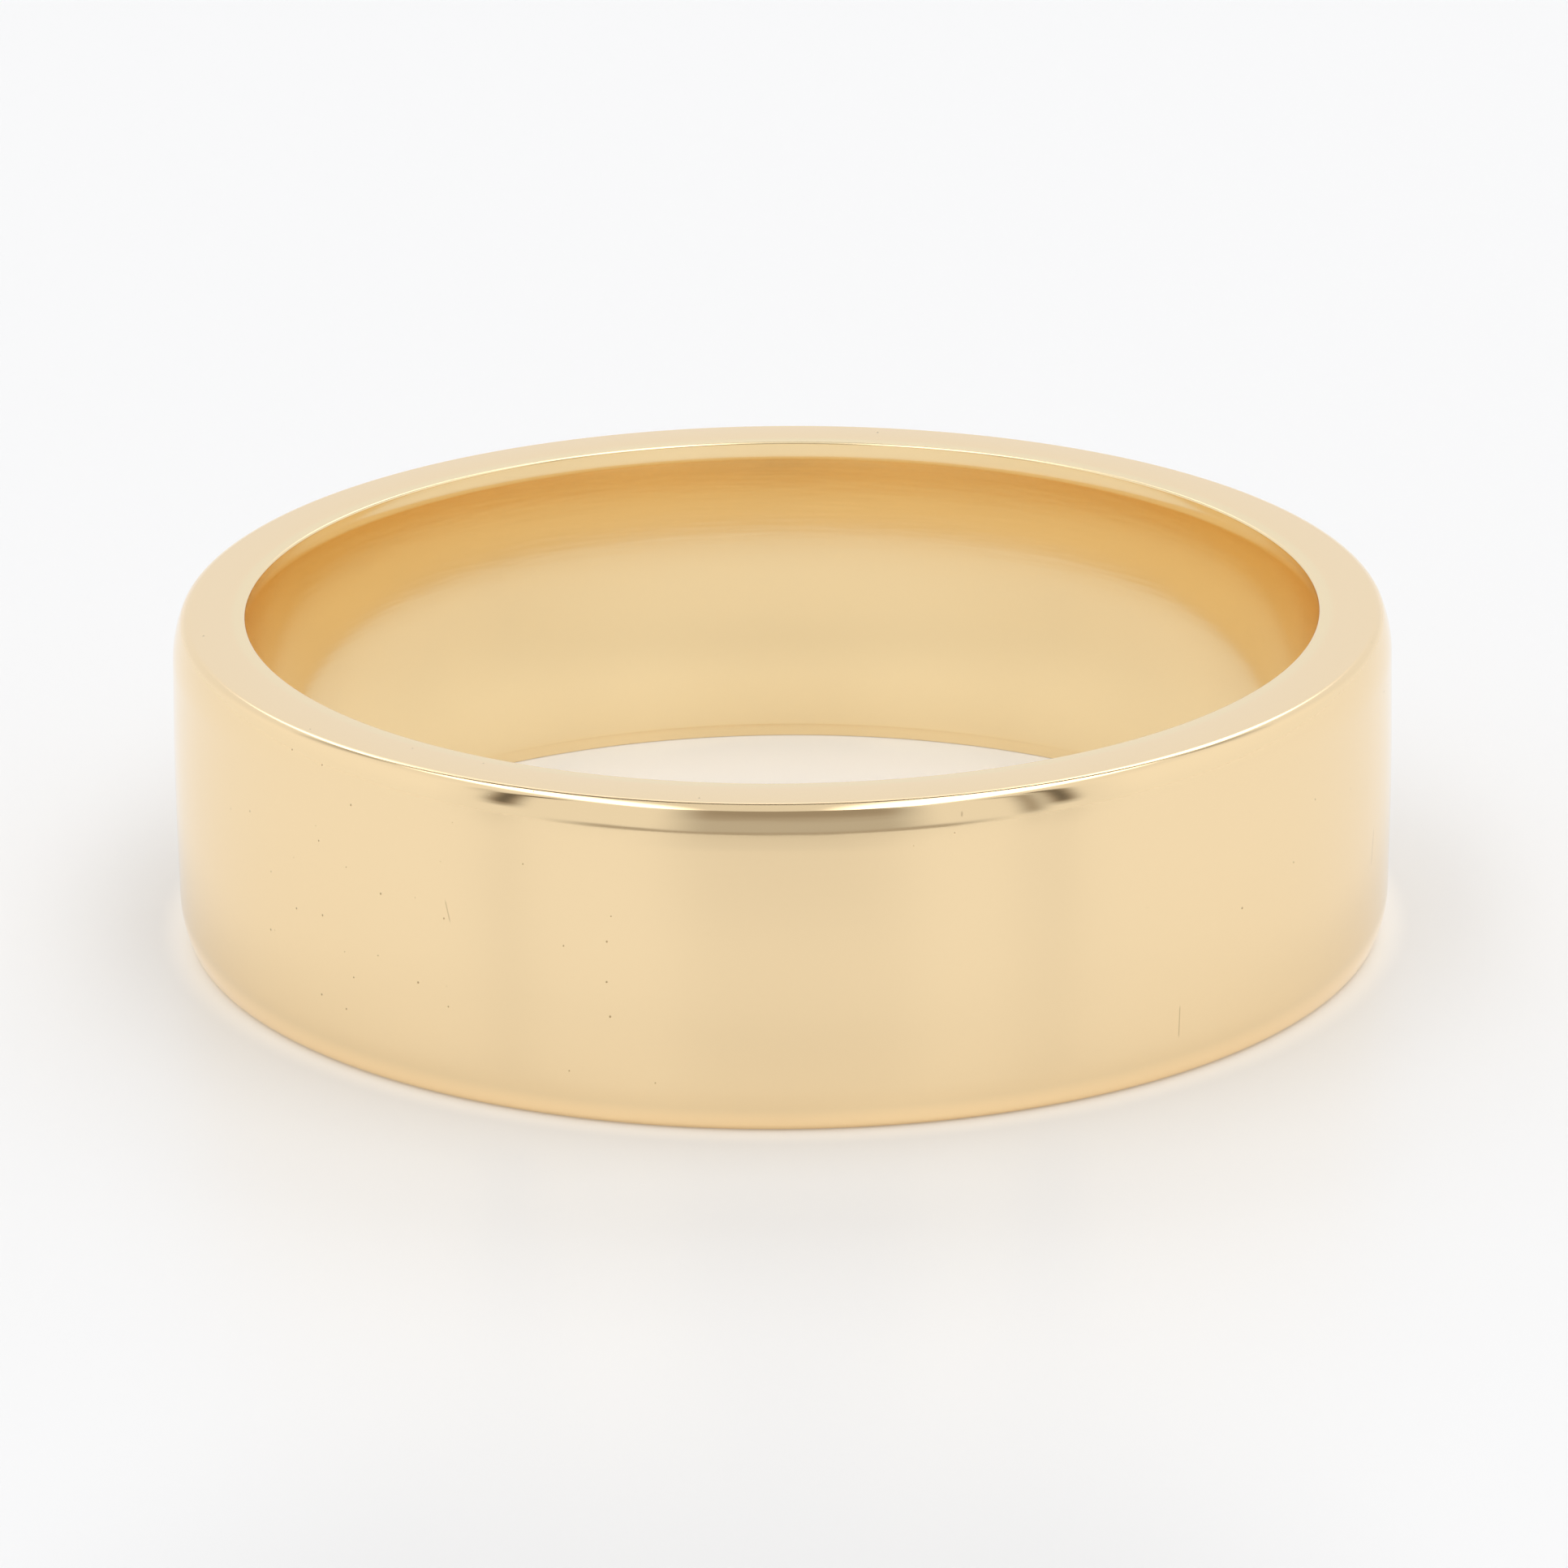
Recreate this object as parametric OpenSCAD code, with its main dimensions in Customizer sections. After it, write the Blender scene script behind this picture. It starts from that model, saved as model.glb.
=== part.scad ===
/* [Band] */
// Smallest inside diameter, across the straight land (the finger size)
finger_d = 19.4; // [14:0.1:24]
// Width of the band, measured along the finger
band_w = 6; // [3:0.1:8]
// Wall thickness at the middle of the band
wall_t = 1.44; // [1.2:0.01:3]

/* [Comfort fit] */
// Length of the straight land in the middle of the bore
land_l = 0.5; // [0.2:0.1:1.6]
// How far the bore has opened out, from the land to the flat of the side face
flank_in = 0.23; // [0.12:0.01:0.5]
// Radius of the inner edge, where the flank meets the side face
inner_edge_r = 0.05; // [0.02:0.01:0.1]

/* [Outer edges] */
// How far the shoulder reaches in across the side face
shoulder_in = 0.32; // [0.25:0.01:0.6]
// How far the shoulder reaches down the outer face
shoulder_down = 0.8; // [0.4:0.05:1.2]
// Radius of the outer edge, where the shoulder meets the side face
outer_edge_r = 0.2; // [0.05:0.01:0.2]

/* [Hidden] */
$fn = 240;

yellow_gold = [0.93, 0.79, 0.56];

// The profile lies in a plane of radius and height, with the middle of the band at height 0.
bore_r = finger_d / 2;
outer_r = bore_r + wall_t;
half_w = band_w / 2;
land_h = land_l / 2;
flank_down = half_w - land_h;

// How far the wedge of a round stretch starts below its own surface
root_depth = 0.02;

function polar(radius, angle) = radius * [cos(angle), sin(angle)];

// Each face is eased into the side face by two arcs: a long one that leaves the face at a
// tangent, then the small radius of the edge, tangent to the long arc and to the side face.
function ease_turn(reach_in, reach_down, edge_r) = 2 * atan((reach_in - edge_r) / (reach_down - edge_r));
function ease_radius(reach_in, reach_down, edge_r) =
    edge_r + (reach_down - edge_r) / sin(ease_turn(reach_in, reach_down, edge_r));

// The wedge of a disc between two angles, measured from the outward radius.
module round_stretch(centre, radius, from, to) {
    far = radius + root_depth;
    near = radius - root_depth;
    middle = (from + to) / 2;
    intersection() {
        translate(centre) circle(r = radius);
        polygon([
            centre + polar(near, from),
            centre + polar(far, from),
            centre + polar(far / cos(middle - from), middle),
            centre + polar(far, to),
            centre + polar(near, to)
        ]);
    }
}

// Rounds the upper corner of an upright face at height 0 and radius 0, for a wall on its left.
module eased_corner(reach_in, reach_down, edge_r) {
    turn = ease_turn(reach_in, reach_down, edge_r);
    long_r = ease_radius(reach_in, reach_down, edge_r);
    round_stretch([-long_r, -reach_down], long_r, 0, turn);
    round_stretch([-reach_in, -edge_r], edge_r, turn, 90);
    polygon([
        [0, -reach_down],
        [-reach_in, -edge_r] + polar(edge_r - root_depth, turn),
        [-reach_in, 0],
        [-reach_in, -reach_down]
    ]);
}

module shoulder() {
    translate([outer_r, half_w]) eased_corner(shoulder_in, shoulder_down, outer_edge_r);
}

module flank() {
    translate([bore_r, half_w]) mirror([1, 0]) eased_corner(flank_in, flank_down, inner_edge_r);
}

module wall_profile() {
    // between the two side faces, clear of all the corners
    translate([bore_r + flank_in, -half_w]) square([wall_t - flank_in - shoulder_in, band_w]);
    // out to the outer face, between the shoulders
    translate([bore_r + flank_in, shoulder_down - half_w])
        square([wall_t - flank_in, band_w - 2 * shoulder_down]);
    // in to the straight land, between the flanks
    translate([bore_r, -land_h]) square([wall_t - shoulder_in, land_l]);
    for (side = [0, 1]) mirror([0, side]) {
        shoulder();
        flank();
    }
}

// One seamless ring, turned from a single profile.
module band() {
    color(yellow_gold) rotate_extrude() wall_profile();
}

band();
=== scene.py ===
import math

import bmesh
import bpy
from mathutils import Matrix, Vector


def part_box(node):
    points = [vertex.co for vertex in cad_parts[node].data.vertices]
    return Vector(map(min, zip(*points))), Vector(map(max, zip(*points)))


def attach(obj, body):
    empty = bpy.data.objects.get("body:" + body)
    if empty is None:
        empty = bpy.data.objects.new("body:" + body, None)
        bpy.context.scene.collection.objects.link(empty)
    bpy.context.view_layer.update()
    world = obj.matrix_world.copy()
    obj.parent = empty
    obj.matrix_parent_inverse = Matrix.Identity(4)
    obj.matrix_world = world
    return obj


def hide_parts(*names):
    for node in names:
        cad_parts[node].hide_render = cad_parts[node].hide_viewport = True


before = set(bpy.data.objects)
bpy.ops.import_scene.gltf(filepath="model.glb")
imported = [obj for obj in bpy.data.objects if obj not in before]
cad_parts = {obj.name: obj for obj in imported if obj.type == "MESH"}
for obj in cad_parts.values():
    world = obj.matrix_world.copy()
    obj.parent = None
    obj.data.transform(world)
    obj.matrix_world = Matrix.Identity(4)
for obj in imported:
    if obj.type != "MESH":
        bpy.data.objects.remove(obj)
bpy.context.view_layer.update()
bandLow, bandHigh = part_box("band")
mm = 0.001
print("frame loaded, band is", [round((b - a) / mm, 2) for a, b in zip(bandLow, bandHigh)], "mm")


# a node's output that can be added, subtracted, multiplied and divided like a number
class Wire:
    def __init__(self, graph, socket):
        self.graph = graph
        self.socket = socket

    def out(self, name):
        return Wire(self.graph, self.socket.node.outputs[name])

    def __add__(self, other):
        return self.graph.maths("ADD", self, other)

    def __sub__(self, other):
        return self.graph.maths("SUBTRACT", self, other)

    def __rsub__(self, other):
        return self.graph.maths("SUBTRACT", other, self)

    def __mul__(self, other):
        return self.graph.maths("MULTIPLY", self, other)

    def __truediv__(self, other):
        return self.graph.maths("DIVIDE", self, other)

    def __rtruediv__(self, other):
        return self.graph.maths("DIVIDE", other, self)

    def __neg__(self):
        return self * -1

    __radd__ = __add__
    __rmul__ = __mul__


class Graph:
    def __init__(self, owner):
        owner.use_nodes = True
        self.tree = owner.node_tree
        self.tree.nodes.clear()

    # one node: its type, its settings, then the values or wires of its sockets
    def add(self, kind, settings=None, sockets=None, out=0):
        node = self.tree.nodes.new(kind)
        for name, value in (settings or {}).items():
            setattr(node, name, value)
        for name, value in (sockets or {}).items():
            if isinstance(value, Wire):
                self.tree.links.new(value.socket, node.inputs[name])
            else:
                node.inputs[name].default_value = value
        return Wire(self, node.outputs[out]) if node.outputs else node

    def maths(self, operation, first, second=0.0):
        return self.add("ShaderNodeMath", {"operation": operation}, {0: first, 1: second})

    def size(self, value):
        return self.maths("ABSOLUTE", value)

    def reach(self, first, second):
        return self.maths("SQRT", first * first + second * second)

    def arc(self, first, second):
        return self.maths("ARCTAN2", first, second)

    # 0 below low, 1 above high, a smooth climb between them
    def rise(self, value, low, high):
        return self.add("ShaderNodeMapRange", {"interpolation_type": "SMOOTHSTEP"},
                        {"Value": value, "From Min": low, "From Max": high})

    # 1 from low to high, with soft ends
    def between(self, value, low, high, soft):
        return self.rise(value, low - soft, low + soft) * (1 - self.rise(value, high - soft, high + soft))

    def grain(self, where, scale, detail, rough):
        return self.add("ShaderNodeTexNoise", {"noise_dimensions": "3D"},
                        {"Vector": where, "Scale": scale, "Detail": detail, "Roughness": rough})

    def mixed(self, factor, first, second):
        return self.add("ShaderNodeMix", {"data_type": "RGBA"}, {0: factor, 6: first, 7: second}, 2)

    def blend(self, factor, first, second):
        return self.add("ShaderNodeMix", {"data_type": "FLOAT"}, {0: factor, 2: first, 3: second}, 0)


band = {
    "outerR": round(bandHigh[0] / mm, 3),      # mm, to the outer face
    "halfWidth": round(bandHigh[2] / mm, 3),
    "boreR": 9.70,          # the straight land inside
    "landHalf": 0.25,
    "flankR": 20.39,        # comfort fit: the bore opens towards each side on this radius
    "flankTurn": 7.63,      # degrees
    "innerEdgeR": 0.05,
    "shoulderR": 1.76,      # the outer edges are eased on this radius, then on a small one
    "shoulderTurn": 22.62,
    "outerEdgeR": 0.20,
    "crown": 0.025,         # mm the outer face falls away towards its shoulders
    "crownFrom": 0.2,       # mm from the middle where that starts, and where it ends
    "crownTo": 2.5,
    "crownIn": 0.5,         # mm in from the outer face, past which nothing falls away
    "faceSteps": 12,
    "shoulderSteps": 16,
    "outerEdgeSteps": 14,
    "innerEdgeSteps": 6,
    "flankSteps": 16,
    "around": 480,
}


def sweep(middle, radius, start, end, steps):
    # points of one arc of the section, as (r, z), angles measured up from the outer face
    turns = [math.radians(start + (end - start) * i / steps) for i in range(steps + 1)]
    return [(middle[0] + radius * math.cos(turn), middle[1] + radius * math.sin(turn)) for turn in turns]


def upperSection(sizes):
    # from the middle of the outer face up, over the side face and down to the land in the bore
    outerR, top = sizes["outerR"], sizes["halfWidth"]
    shoulderR, outerEdgeR = sizes["shoulderR"], sizes["outerEdgeR"]
    flankR, innerEdgeR = sizes["flankR"], sizes["innerEdgeR"]
    turn = math.radians(sizes["shoulderTurn"])
    faceTop = top - (outerEdgeR + (shoulderR - outerEdgeR) * math.sin(turn))
    edgeOut = outerR - (shoulderR - outerEdgeR) * (1 - math.cos(turn)) - outerEdgeR
    flankOut = sizes["boreR"] + flankR
    innerOut = flankOut - (flankR + innerEdgeR) * math.cos(math.radians(sizes["flankTurn"]))
    innerEnd = 180 - sizes["flankTurn"]
    section = [(outerR, faceTop * i / sizes["faceSteps"]) for i in range(sizes["faceSteps"])]
    section += sweep((outerR - shoulderR, faceTop), shoulderR, 0, sizes["shoulderTurn"],
                     sizes["shoulderSteps"])
    section += sweep((edgeOut, top - outerEdgeR), outerEdgeR, sizes["shoulderTurn"], 90,
                     sizes["outerEdgeSteps"])[1:]
    section += sweep((innerOut, top - innerEdgeR), innerEdgeR, 90, innerEnd, sizes["innerEdgeSteps"])
    section += sweep((flankOut, sizes["landHalf"]), flankR, innerEnd, 180, sizes["flankSteps"])[1:]
    return section


def wholeSection(sizes):
    upper = upperSection(sizes)
    lower = [(r, -z) for r, z in reversed(upper[1:])]
    return upper + lower


def eased(r, z, sizes):
    # the hand-polished outer face falls off a hair before each shoulder
    if r < sizes["outerR"] - sizes["crownIn"]:
        return r
    past = (abs(z) - sizes["crownFrom"]) / (sizes["crownTo"] - sizes["crownFrom"])
    past = min(1.0, max(0.0, past))
    return r - sizes["crown"] * past * past * (3 - 2 * past)


def turnBand(sizes):
    shape = bmesh.new()
    section = [(eased(r, z, sizes), z) for r, z in wholeSection(sizes)]
    around = sizes["around"]
    rings = []
    for j in range(around):
        turn = 2 * math.pi * j / around
        ring = [(r * math.cos(turn) * mm, r * math.sin(turn) * mm, z * mm) for r, z in section]
        rings.append([shape.verts.new(place) for place in ring])
    for j in range(around):
        here, there = rings[j], rings[(j + 1) % around]
        for i in range(len(section)):
            k = (i + 1) % len(section)
            shape.faces.new((here[i], there[i], there[k], here[k]))
    mesh = bpy.data.meshes.new("weddingBand")
    shape.to_mesh(mesh)
    shape.free()
    mesh.shade_smooth()
    piece = bpy.data.objects.new("weddingBand", mesh)
    bpy.context.scene.collection.objects.link(piece)
    return piece


weddingBand = turnBand(band)
print("band turned,", len(weddingBand.data.polygons), "faces")

gold = {
    "colour": (0.94, 0.733, 0.448, 1.0),
    "boreColour": (0.925, 0.755, 0.468, 1.0),
    "hollowShadeColour": (0.48, 0.34, 0.18, 1.0),   # painted shade in the bottom of pits and along nicks
    "roughness": 0.085,
    "boreRoughness": 0.15,
    "boreEnd": (9.95, 10.1),                 # mm from the axis, where the bore's finish fades out
    "satin": 0.16,          # roughness of the flat side faces, straight off the lap
    "satinSoft": 0.045,     # mm over which that starts, above the inner edge
    "haze": 0.03,           # how much handling changes the polish
    "hazes": 0.35,          # patches per mm
    "lines": 22.0,          # polishing lines per mm across the band
    "lineRound": 3.0,       # the higher this is, the shorter they run round it
    "lineDepth": 0.00009,   # mm
    "lineHaze": 0.02,       # how much they change the roughness
    "waves": 0.55,          # per mm, slow hand-polish wave
    "waveDepth": 0.0006,
    "ripples": 8.0,         # per mm across the band
    "rippleRound": 7.0,
    "rippleDepth": 0.0008,
    "pitCell": 0.75,        # mm between possible pits
    "pitR": 0.022,
    "pitSpread": (0.4, 1.3),                 # smallest and largest pit, times that radius
    "pitFloor": 0.35,       # the flat part of a pit's bottom, as a share of its radius
    "pitDepth": 0.006,
    "pitShare": 0.05,       # the share of possible pits that are there
    "pitCut": 0.01,         # how softly the others drop out
    "rubbedShare": 0.45,    # and the share in a rubbed patch left of the front
    "rubbed": (-10.5, -3.5, 2.0),            # mm round from the front: from, to, soft ends
    "rubbedHaze": (0.3, 0.5),                # haze at which rubbed metal starts, and is full
    # hairline nicks: mm round from the front, height of the foot and of the head, lean
    "nicks": [(7.45, -2.15, -1.6, 0.03), (3.12, 2.68, 2.72, 0.1),
              (-6.1, 0.4, 0.75, -0.25), (14.0, -0.9, -0.3, 0.2)],
    "nickWidth": 0.012,
    "nickSoft": 0.006,
    "nickTaper": 0.05,      # mm over which its ends run out
    "nickDepth": 0.003,
    "nickDark": 0.5,        # how far it takes the painted hollow shade
}


def polishedGold(look):
    material = bpy.data.materials.new("polishedYellowGold")
    graph = Graph(material)
    spot = graph.add("ShaderNodeTexCoord", out="Object")
    millis = graph.add("ShaderNodeVectorMath", {"operation": "SCALE"}, {0: spot, "Scale": 1 / mm})
    x = graph.add("ShaderNodeSeparateXYZ", sockets={0: millis})
    y, z = x.out("Y"), x.out("Z")
    r = graph.reach(x, y)
    along = graph.arc(x, -y) * band["outerR"]          # mm round from the front
    across = z - r                                     # mm, up the outer face and in along the sides
    satinFrom = band["halfWidth"] - band["innerEdgeR"]
    sideFace = graph.rise(graph.size(z), satinFrom, satinFrom + look["satinSoft"])
    bore = 1 - graph.rise(r, *look["boreEnd"])

    # a place that changes quickly across the band and slowly round it
    def brushed(perRound, perMm):
        pace = perRound / r
        return graph.add("ShaderNodeCombineXYZ", sockets={0: x * pace, 1: y * pace, 2: across * perMm})

    lines = graph.grain(brushed(look["lineRound"], look["lines"]), 1.0, detail=3.0, rough=0.6)
    ripple = graph.grain(brushed(look["rippleRound"], look["ripples"]), 1.0, detail=1.0, rough=0.5)
    wave = graph.grain(millis, look["waves"], detail=1.0, rough=0.4)
    haze = graph.grain(millis, look["hazes"], detail=4.0, rough=0.6)
    average = 0.5                                      # of any of these four

    pitSpot = graph.add("ShaderNodeCombineXYZ", sockets={0: along, 1: across, 2: 0.0})
    pits = graph.add("ShaderNodeTexVoronoi", {"voronoi_dimensions": "2D", "feature": "F1"},
                     {"Vector": pitSpot, "Scale": 1 / look["pitCell"], "Randomness": 1.0})
    chance = graph.add("ShaderNodeSeparateColor", sockets={0: pits.out("Color")})
    rubbed = graph.between(along, *look["rubbed"]) * graph.rise(haze, *look["rubbedHaze"])
    share = look["pitShare"] + rubbed * (look["rubbedShare"] - look["pitShare"])
    kept = graph.rise(chance + share, 1 - look["pitCut"], 1 + look["pitCut"])
    smallest, largest = look["pitSpread"]
    pitR = (chance.out("Green") * (largest - smallest) + smallest) * (look["pitR"] / look["pitCell"])
    pit = (1 - graph.rise(pits / pitR, look["pitFloor"], 1.0)) * kept * (1 - bore)

    nick = 0.0
    for place, foot, head, lean in look["nicks"]:
        off = along - z * lean - (place - foot * lean)
        nick = nick + (graph.between(off, -look["nickWidth"], look["nickWidth"], look["nickSoft"])
                       * graph.between(z, foot, head, look["nickTaper"]))
    nick = nick * (1 - bore)

    height = (lines * look["lineDepth"] + wave * look["waveDepth"] + ripple * look["rippleDepth"]
              - pit * look["pitDepth"] - nick * look["nickDepth"])
    bump = graph.add("ShaderNodeBump", sockets={"Strength": 1.0, "Distance": mm, "Height": height})
    roughness = (look["roughness"] + (haze - average) * look["haze"] + (lines - average) * look["lineHaze"]
                 + sideFace * (look["satin"] - look["roughness"])
                 + bore * (look["boreRoughness"] - look["roughness"]))
    colour = graph.mixed(bore, look["colour"], look["boreColour"])
    # painted shade: pits and nicks take a darker colour, as shade falls in them
    colour = graph.mixed(pit + nick * look["nickDark"], colour, look["hollowShadeColour"])
    shader = graph.add("ShaderNodeBsdfPrincipled", sockets={
        "Base Color": colour,
        "Metallic": 1.0,
        "Roughness": roughness,
        "Normal": bump,
    })
    graph.add("ShaderNodeOutputMaterial", sockets={"Surface": shader})
    return material


weddingBand.data.materials.append(polishedGold(gold))
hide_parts("band")
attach(weddingBand, "root")
print("gold polished")

table = {
    "reach": 3.0,           # m
    "squares": 8,
    "white": (0.72, 0.72, 0.72, 1.0),
    "roughness": 0.9,
    "gloss": 0.36,          # roughness of its glossy skin
    "paintedGlow": (0.10, 0.10, 0.10, 1.0),         # painted glow: light the table top gives off itself, though no lamp is under it
    "paintedGoldGlow": (0.14, 0.11, 0.07, 1.0),   # more painted glow, gold coloured, inside the band, standing in for light the gold throws back
    # painted glow next to the band's wall, brighter and paler
    "paintedWallGlow": (0.25, 0.225, 0.19, 1.0),
    "glowMiddleTo": (4, 9),                  # mm from the middle, where one gives way to the other
    "glowR": 11.3,          # mm
    "glowSoft": 0.3,
    "shadow": (0.0, 0.0, 0.0, 1.0),
    "shadowShare": 0.10,
    "shadowAhead": (19, 33),                 # mm in front, where the camera starts to shade the table
    "shadowSwing": (-19, 15, 8),             # degrees round from the front: from, to, soft ends
}


def layTable(look):
    sheet = bmesh.new()
    bmesh.ops.create_grid(sheet, x_segments=look["squares"], y_segments=look["squares"], size=look["reach"])
    mesh = bpy.data.meshes.new("tableTop")
    sheet.to_mesh(mesh)
    sheet.free()
    top = bpy.data.objects.new("tableTop", mesh)
    top.location = (0, 0, bandLow[2])
    bpy.context.scene.collection.objects.link(top)
    material = bpy.data.materials.new("whiteTable")
    graph = Graph(material)
    spot = graph.add("ShaderNodeTexCoord", out="Object")
    millis = graph.add("ShaderNodeVectorMath", {"operation": "SCALE"}, {0: spot, "Scale": 1 / mm})
    across = graph.add("ShaderNodeSeparateXYZ", sockets={0: millis})
    ahead = -across.out("Y")
    away = graph.reach(across, ahead)
    swing = graph.arc(across, ahead) * math.degrees(1)
    # painted glow inside the band: gold coloured, brighter towards the wall, standing in for light the gold
    # throws back
    inside = 1 - graph.rise(away, look["glowR"] - look["glowSoft"], look["glowR"] + look["glowSoft"])
    paintedGlowInside = graph.mixed(graph.rise(away, *look["glowMiddleTo"]), look["paintedGoldGlow"], look["paintedWallGlow"])
    shadow = (graph.rise(ahead, *look["shadowAhead"]) * graph.between(swing, *look["shadowSwing"])
              * look["shadowShare"])
    white = graph.mixed(shadow, look["white"], look["shadow"])
    # painted glow: the table gives off this light though it is no lamp, less of it under the shadow
    paintedGlow = graph.mixed(shadow, graph.mixed(inside, look["paintedGlow"], paintedGlowInside), look["shadow"])
    shader = graph.add("ShaderNodeBsdfPrincipled", sockets={
        "Base Color": white,
        "Roughness": look["roughness"],
        "Specular IOR Level": 0.0,
        "Coat Weight": 1.0,
        "Coat Roughness": look["gloss"],
        "Emission Color": paintedGlow,
        "Emission Strength": 1.0,
    })
    graph.add("ShaderNodeOutputMaterial", sockets={"Surface": shader})
    mesh.materials.append(material)
    return top


tableTop = layTable(table)
print("table laid")

# brightness by direction: swing is degrees round from the front, to the right, and lift is degrees up;
# side is the share of a direction that points right; ahead and across are distances on a flat ceiling,
# as a share of its height
tent = {
    "wall": 0.90,
    "sides": 0.98,          # the walls at either side
    "sidesFrom": (0.6, 0.9),                 # side at which they start, and are full
    "below": 0.95,          # under the horizon, and fading out above it
    "belowSoft": 0.3,       # degrees
    "horizonTop": 14,
    "front": 0.88,          # the open front, where the camera stands
    "frontSwing": (-62, 62, 8),              # from, to, soft ends
    "frontTop": (38, 44),
    "camera": 0.53,
    "cameraSwing": (-19, 24, 6),
    "cameraTop": (39, 42),
    "cameraHead": 0.17,     # how much darker it is higher up
    "cameraHeadLift": (12, 24),
    "gap": 0.12,            # dark gaps between the panels
    # each gap: swing, lift, which way it leans, strength
    "gaps": [((-56, -50, 3), (10, 40, 3), -1, 1.0), ((-61, -58, 2), (20, 36, 4), 0, 0.3),
             ((44, 48, 2.5), (3, 36, 4), 1, 0.7), ((50, 55, 2.5), (8, 38, 3), 0, 1.0)],
    "lean": 5,              # degrees of swing
    "leanLift": (22, 40),
    "seam": 0.42,           # the table's edge, just over the horizon in front
    "seamSwing": (-39, 36, 8),
    "seamLift": (0.0, 3.2, 1.0),
    "lamps": 2.6,
    "lampAhead": (-1.55, 1.15, 0.05),
    "lampAcross": (-0.60, 0.60, 0.08),
    "ceiling": 0.80,        # the unlit strip between the lamps
    "ceilingSide": (-0.26, 0.15, 0.07),
    "ceilingBack": 0.4,     # how much brighter it is behind the slot
    "slot": 0.12,           # a dark slot across the ceiling
    "slotAhead": (-0.74, -0.42, 0.03),
    "slotSide": (-0.55, 0.55, 0.35),
    "slotBack": 0.05,       # how far behind the slot that comes in
    "plain": (1.0, 1.0, 1.0, 1.0),
    "cool": (0.99, 1.0, 1.03, 1.0),          # the back wall, a little colder
    "coolBack": (0.3, 0.8),
    "warm": (1.0, 0.90, 0.79, 1.0),          # dark things, a little warmer
    "warmLight": (0.3, 0.6),                 # brightness where that is full, and where it ends
}


def hangTent(look):
    world = bpy.data.worlds.new("lightTent")
    bpy.context.scene.world = world
    graph = Graph(world)
    way = graph.add("ShaderNodeTexCoord", out="Generated")
    side = graph.add("ShaderNodeSeparateXYZ", sockets={0: way})
    ahead, up = -side.out("Y"), side.out("Z")
    lift = graph.arc(up, graph.reach(side, ahead)) * math.degrees(1)
    swing = graph.arc(side, ahead) * math.degrees(1)
    height = graph.maths("MAXIMUM", up, 0.001)         # never zero, as it divides
    overAhead = ahead / height
    overAcross = side / height

    light = graph.blend(graph.rise(graph.size(side), *look["sidesFrom"]), look["wall"], look["sides"])
    light = graph.blend(graph.rise(lift, 0, look["horizonTop"]), look["below"], light)
    front = graph.between(swing, *look["frontSwing"]) * (1 - graph.rise(lift, *look["frontTop"]))
    light = graph.blend(front, light, look["front"])
    stand = graph.between(swing, *look["cameraSwing"]) * (1 - graph.rise(lift, *look["cameraTop"]))
    head = graph.rise(lift, *look["cameraHeadLift"]) * look["cameraHead"]
    light = graph.blend(stand, light, look["camera"] - head)
    lean = graph.rise(lift, *look["leanLift"]) * look["lean"]
    for gapSwing, gapLift, leans, strength in look["gaps"]:
        gap = graph.between(swing + lean * leans, *gapSwing) * graph.between(lift, *gapLift) * strength
        light = graph.blend(gap, light, look["gap"])
    seam = graph.between(swing, *look["seamSwing"]) * graph.between(lift, *look["seamLift"])
    light = graph.blend(seam, light, look["seam"])

    lamps = graph.between(overAhead, *look["lampAhead"]) * graph.between(overAcross, *look["lampAcross"])
    slotEnd = look["slotAhead"][0]
    behind = 1 - graph.rise(overAhead, slotEnd - look["slotBack"], slotEnd)
    ceiling = look["ceiling"] + behind * look["ceilingBack"]
    middle = graph.between(side, *look["ceilingSide"])
    light = graph.blend(lamps, light, graph.blend(middle, look["lamps"], ceiling))
    slot = graph.between(overAhead, *look["slotAhead"]) * graph.between(side, *look["slotSide"])
    light = graph.blend(slot, light, look["slot"])
    light = graph.blend(graph.rise(lift, -look["belowSoft"], 0), look["below"], light)

    shade = graph.mixed(graph.rise(-ahead, *look["coolBack"]), look["plain"], look["cool"])
    shade = graph.mixed(graph.rise(light, *look["warmLight"]), look["warm"], shade)
    backdrop = graph.add("ShaderNodeBackground", sockets={"Color": shade, "Strength": light})
    graph.add("ShaderNodeOutputWorld", sockets={"Surface": backdrop})


hangTent(tent)
boreBounces = 12            # light runs round the inside of the bore many times
bpy.context.scene.cycles.glossy_bounces = boreBounces
bpy.context.scene.view_settings.view_transform = "Standard"
print("tent hung")

camera = {
    "back": 153.84,         # mm from the middle of the ring
    "above": 51.36,         # mm above the top side face
    "drop": 19.631,         # degrees the lens looks down
    "swing": 0.0048,        # degrees it looks to the right
    "roll": -0.4436,
    "lens": 204.02,         # mm
    "sensor": 36,           # mm wide
    "near": 0.01,           # m
    "far": 20,
}


def standCamera(place):
    data = bpy.data.cameras.new("camera")
    data.sensor_width = place["sensor"]
    data.lens = place["lens"]
    data.clip_start = place["near"]
    data.clip_end = place["far"]
    stand = bpy.data.objects.new("camera", data)
    bpy.context.scene.collection.objects.link(stand)
    drop, swing = math.radians(place["drop"]), math.radians(place["swing"])
    look = Vector((math.sin(swing) * math.cos(drop), math.cos(swing) * math.cos(drop), -math.sin(drop)))
    spot = Vector((0, -place["back"] * mm, bandHigh[2] + place["above"] * mm))
    stand.matrix_world = (Matrix.Translation(spot) @ look.to_track_quat("-Z", "Y").to_matrix().to_4x4()
                          @ Matrix.Rotation(math.radians(place["roll"]), 4, "Z"))
    bpy.context.scene.camera = stand


standCamera(camera)
print("camera set")
